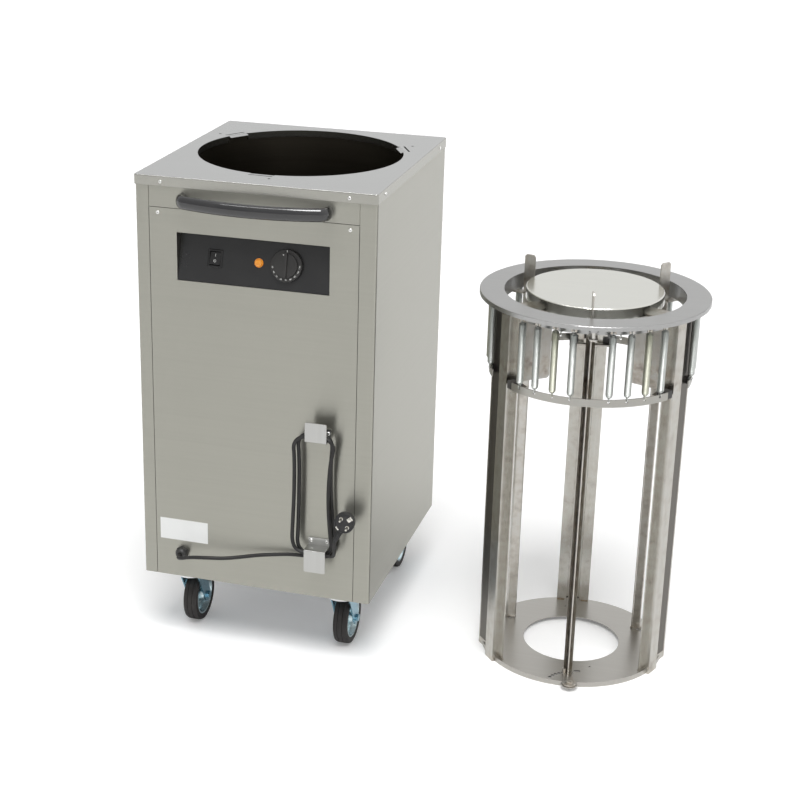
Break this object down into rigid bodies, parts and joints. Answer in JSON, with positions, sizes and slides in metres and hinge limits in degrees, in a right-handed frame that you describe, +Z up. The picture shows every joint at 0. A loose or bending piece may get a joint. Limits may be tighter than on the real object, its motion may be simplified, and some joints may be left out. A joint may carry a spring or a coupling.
{
  "type": "plate dispenser cart",
  "caption": "Heated plate dispenser cart: a stainless cabinet on swivel casters with a round well, and its sprung plate dispenser standing beside it.",
  "frame": {"origin": "on the floor under the middle of the set, without the loose cord and its plug", "axes": "+Z up, +X from the cabinet to the dispenser standing beside it, along the set's length; the cabinet's front faces -Y"},
  "size_m": [0.9856, 0.5577, 0.9],
  "materials": {
    "brushed_steel_body": "brushed stainless sheet",
    "brushed_steel_lid": "brushed stainless sheet, pale",
    "galvanised_inner": "plain galvanised sheet",
    "screw_steel": "bright zinc plated screw heads",
    "black_handle": "gloss black moulding",
    "dark_plate": "satin dark grey coating",
    "black_switch": "semi-gloss black",
    "amber_lamp": "clear amber lens",
    "black_knob": "fine matt black",
    "grey_moulding": "plain moulding",
    "element_sheath": "dull steel sheath",
    "black_gland": "matt black nylon",
    "hook_steel": "brushed stainless strip",
    "blank_plate": "plain white film",
    "black_cord": "matt black rubber sheath",
    "black_plug": "matt black rubber with bright pins",
    "zinc_plated": "bright zinc plating",
    "rim_blue_zinc": "blue zinc plating",
    "grey_tyre": "dark grey rubber",
    "insert_steel": "brushed stainless sheet, welded",
    "spring_steel": "bright spring wire",
    "nylon_black": "dark nylon"
  },
  "bodies": {
    "cabinet": {"back_panel": "brushed_steel_body", "base_tray": "galvanised_inner", "cable_gland": "black_gland", "case_screws": "screw_steel", "caster_plate_front_left": "zinc_plated", "caster_plate_front_right": "zinc_plated", "caster_plate_rear_left": "zinc_plated", "caster_plate_rear_right": "zinc_plated", "control_plate": "dark_plate", "cord_hank": "black_cord", "cord_run": "black_cord", "front_panel": "brushed_steel_body", "front_top_rail": "brushed_steel_body", "heating_element": "element_sheath", "hook_screws": "screw_steel", "left_side_panel": "brushed_steel_body", "lid": "brushed_steel_lid", "lower_cord_hook": "hook_steel", "pilot_lamp": "amber_lamp", "plug": "black_plug", "push_handle": "black_handle", "rating_plate": "blank_plate", "right_side_panel": "brushed_steel_body", "switch_housing": "black_switch", "terminal_block": "grey_moulding", "thermostat_body": "grey_moulding", "upper_cord_hook": "hook_steel", "well_floor": "galvanised_inner", "well_liner": "galvanised_inner"},
    "rocker": {"rocker_button": "black_switch"},
    "knob": {"temperature_knob": "black_knob"},
    "swivel_front_left": {"caster_fork_front_left": "zinc_plated"},
    "wheel_front_left": {"caster_rim_front_left": "rim_blue_zinc", "caster_tyre_front_left": "grey_tyre"},
    "swivel_front_right": {"caster_fork_front_right": "zinc_plated"},
    "wheel_front_right": {"caster_rim_front_right": "rim_blue_zinc", "caster_tyre_front_right": "grey_tyre"},
    "swivel_rear_left": {"caster_fork_rear_left": "zinc_plated"},
    "wheel_rear_left": {"caster_rim_rear_left": "rim_blue_zinc", "caster_tyre_rear_left": "grey_tyre"},
    "swivel_rear_right": {"caster_fork_rear_right": "zinc_plated"},
    "wheel_rear_right": {"caster_rim_rear_right": "rim_blue_zinc", "caster_tyre_rear_right": "grey_tyre"},
    "dispenser": {"top_ring": "insert_steel", "bottom_ring": "insert_steel", "upright_left": "insert_steel", "upright_right": "insert_steel", "upright_back": "insert_steel", "spring_lugs": "insert_steel", "springs": "spring_steel"},
    "carriage": {"platform_disc": "insert_steel", "carriage_arms": "insert_steel", "spring_band": "insert_steel", "glide_blocks": "nylon_black"},
    "plate_guide_front": {"guide_front": "insert_steel"},
    "plate_guide_right": {"guide_right": "insert_steel"},
    "plate_guide_left": {"guide_left": "insert_steel"}
  },
  "joints": [
    {"name": "caster_swivel_front_left", "type": "hinge", "parent": "cabinet", "child": "swivel_front_left", "pos_m": [-0.4208, -0.1622, 0.12], "axis": [0, 0, 1], "continuous": true},
    {"name": "wheel_roll_front_left", "type": "hinge", "parent": "swivel_front_left", "child": "wheel_front_left", "pos_m": [-0.4208, -0.1258, 0.051], "axis": [1, 0, 0], "continuous": true},
    {"name": "caster_swivel_front_right", "type": "hinge", "parent": "cabinet", "child": "swivel_front_right", "pos_m": [-0.1196, -0.1622, 0.12], "axis": [0, 0, 1], "continuous": true},
    {"name": "wheel_roll_front_right", "type": "hinge", "parent": "swivel_front_right", "child": "wheel_front_right", "pos_m": [-0.1196, -0.1258, 0.051], "axis": [1, 0, 0], "continuous": true},
    {"name": "caster_swivel_rear_left", "type": "hinge", "parent": "cabinet", "child": "swivel_rear_left", "pos_m": [-0.4208, 0.1858, 0.12], "axis": [0, 0, 1], "continuous": true},
    {"name": "wheel_roll_rear_left", "type": "hinge", "parent": "swivel_rear_left", "child": "wheel_rear_left", "pos_m": [-0.4208, 0.2222, 0.051], "axis": [1, 0, 0], "continuous": true},
    {"name": "caster_swivel_rear_right", "type": "hinge", "parent": "cabinet", "child": "swivel_rear_right", "pos_m": [-0.1196, 0.1858, 0.12], "axis": [0, 0, 1], "continuous": true},
    {"name": "wheel_roll_rear_right", "type": "hinge", "parent": "swivel_rear_right", "child": "wheel_rear_right", "pos_m": [-0.1196, 0.2222, 0.051], "axis": [1, 0, 0], "continuous": true},
    {"name": "knob_turn", "type": "hinge", "parent": "cabinet", "child": "knob", "pos_m": [-0.2135, -0.21176, 0.75669], "axis": [0, -0.9659, 0.2588], "range_deg": [-271, 0]},
    {"name": "rocker_switch", "type": "hinge", "parent": "cabinet", "child": "rocker", "pos_m": [-0.3463, -0.20881, 0.75611], "axis": [1, 0, 0], "range_deg": [0, 20]},
    {"name": "dispenser_lift", "type": "slide", "parent": "cabinet", "child": "dispenser", "axis": [0, 0, 1], "range_m": [0, 0.75]},
    {"name": "platform_travel", "type": "slide", "parent": "dispenser", "child": "carriage", "axis": [0, 0, 1], "range_m": [-0.4, 0], "stiffness_N_per_m": 1380, "springref_m": 0.061, "deforming": ["springs"]},
    {"name": "plate_guide_turn_front", "type": "hinge", "parent": "dispenser", "child": "plate_guide_front", "pos_m": [0.31707, -0.17352, 0.01], "axis": [0, 0, 1], "range_deg": [-10.8, 32.4]},
    {"name": "plate_guide_turn_right", "type": "hinge", "parent": "dispenser", "child": "plate_guide_right", "pos_m": [0.42724, 0.1135, 0.01], "axis": [0, 0, 1], "range_deg": [-10.8, 32.4]},
    {"name": "plate_guide_turn_left", "type": "hinge", "parent": "dispenser", "child": "plate_guide_left", "pos_m": [0.12359, 0.06541, 0.01], "axis": [0, 0, 1], "range_deg": [-10.8, 32.4]}
  ]
}
